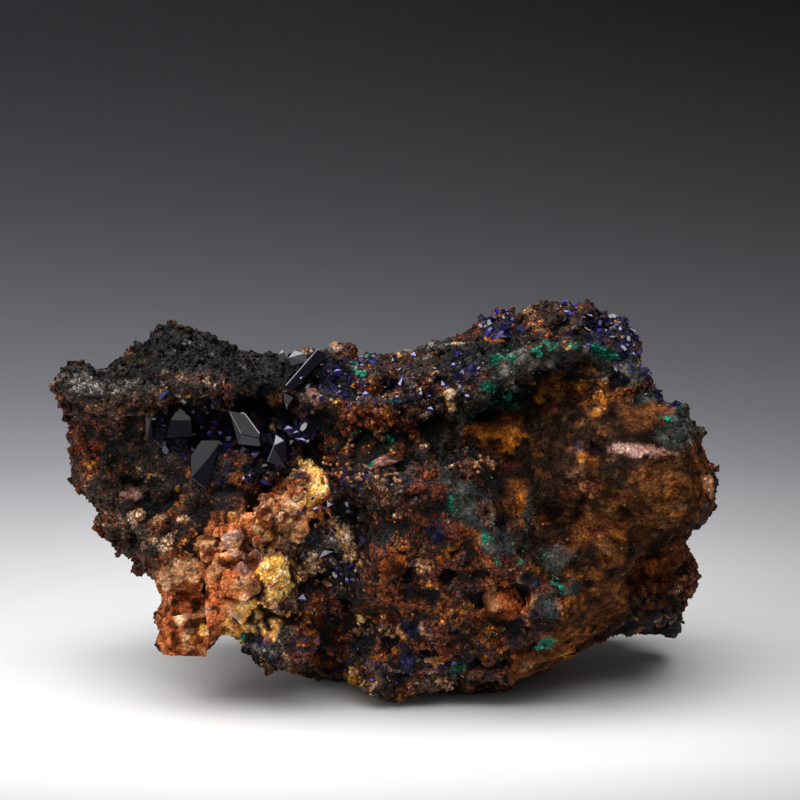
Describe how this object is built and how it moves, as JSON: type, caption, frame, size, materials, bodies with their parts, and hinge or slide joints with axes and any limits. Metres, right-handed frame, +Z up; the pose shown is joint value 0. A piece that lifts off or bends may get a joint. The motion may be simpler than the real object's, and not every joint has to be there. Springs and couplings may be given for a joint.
{
  "type": "azurite and malachite mineral specimen",
  "caption": "Rugged lump of brown limonite rock with ledges, hollows and pits, dark azurite crystals in the hollows and along the crest, and small green malachite tufts.",
  "frame": {"origin": "middle of the bounding box, on the plane that the rock stands on", "axes": "+X to the right of the show face, +Y away from the viewer, +Z up; the show face looks along -Y"},
  "size_m": [0.1499, 0.0826, 0.0878],
  "materials": {
    "limonite": "rough, earthy, brown with rust and ochre",
    "azurite": "glossy crystal faces",
    "malachite": "matt, finely fibrous"
  },
  "bodies": {
    "root": {"matrix": "limonite", "azurite_left_hollow": "azurite", "azurite_top_blades": "azurite", "azurite_saddle_plates": "azurite", "azurite_rosette": "azurite", "azurite_crest_druse": "azurite", "azurite_middle_hollow": "azurite", "azurite_base_crystals": "azurite", "malachite_tuft_1": "malachite", "malachite_tuft_2": "malachite", "malachite_tuft_3": "malachite", "malachite_tuft_4": "malachite", "malachite_tuft_5": "malachite", "malachite_tuft_6": "malachite", "malachite_tuft_7": "malachite", "malachite_tuft_8": "malachite"}
  },
  "joints": []
}
